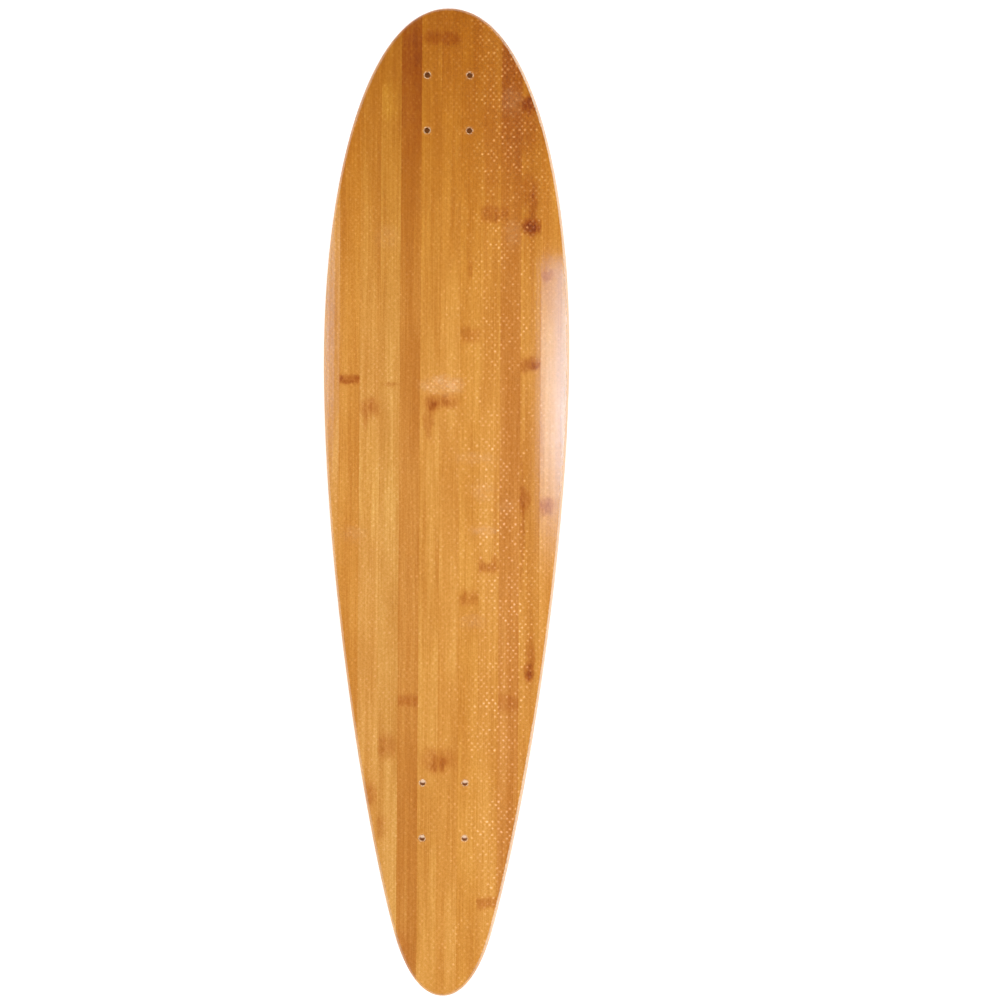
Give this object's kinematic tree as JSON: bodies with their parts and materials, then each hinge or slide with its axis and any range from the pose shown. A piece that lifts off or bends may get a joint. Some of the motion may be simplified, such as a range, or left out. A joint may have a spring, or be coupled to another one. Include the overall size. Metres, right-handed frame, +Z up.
{
  "type": "longboard deck",
  "caption": "Bare pintail longboard deck for an electric or push skateboard: laminated bamboo strips under clear glass-fibre skins, hollowed across, drilled for two trucks.",
  "frame": {"origin": "midway between the nose and tail tips and between the rails, on the surface that the deck rests on", "axes": "+Y to the nose along the deck, +X to the right rail, +Z up through the top face"},
  "size_m": [0.239, 0.965, 0.0198],
  "materials": {
    "glass_fibre_skin": "clear glass-fibre laminate, polished",
    "cross_ply": "bamboo sheet, grain across the deck",
    "bamboo_pale": "pale vertical-grain bamboo strip",
    "bamboo_light": "light vertical-grain bamboo strip",
    "bamboo_medium": "medium vertical-grain bamboo strip",
    "bamboo_dark": "dark vertical-grain bamboo strip"
  },
  "bodies": {
    "root": {"top_glass_skin": "glass_fibre_skin", "upper_cross_ply": "cross_ply", "lower_cross_ply": "cross_ply", "bottom_glass_skin": "glass_fibre_skin", "top_strip_01": "bamboo_light", "top_strip_02": "bamboo_medium", "top_strip_03": "bamboo_light", "top_strip_04": "bamboo_pale", "top_strip_05": "bamboo_dark", "top_strip_06": "bamboo_medium", "top_strip_07": "bamboo_medium", "top_strip_08": "bamboo_medium", "top_strip_09": "bamboo_light", "top_strip_10": "bamboo_dark", "top_strip_11": "bamboo_medium", "top_strip_12": "bamboo_light", "top_strip_13": "bamboo_pale", "core_strip_01": "bamboo_pale", "core_strip_02": "bamboo_medium", "core_strip_03": "bamboo_light", "core_strip_04": "bamboo_pale", "core_strip_05": "bamboo_medium", "core_strip_06": "bamboo_light", "core_strip_07": "bamboo_pale", "core_strip_08": "bamboo_medium", "core_strip_09": "bamboo_light", "core_strip_10": "bamboo_pale", "core_strip_11": "bamboo_medium", "core_strip_12": "bamboo_light", "core_strip_13": "bamboo_pale", "bottom_strip_01": "bamboo_pale", "bottom_strip_02": "bamboo_light", "bottom_strip_03": "bamboo_medium", "bottom_strip_04": "bamboo_dark", "bottom_strip_05": "bamboo_light", "bottom_strip_06": "bamboo_medium", "bottom_strip_07": "bamboo_medium", "bottom_strip_08": "bamboo_medium", "bottom_strip_09": "bamboo_dark", "bottom_strip_10": "bamboo_pale", "bottom_strip_11": "bamboo_light", "bottom_strip_12": "bamboo_medium", "bottom_strip_13": "bamboo_light"}
  },
  "joints": []
}
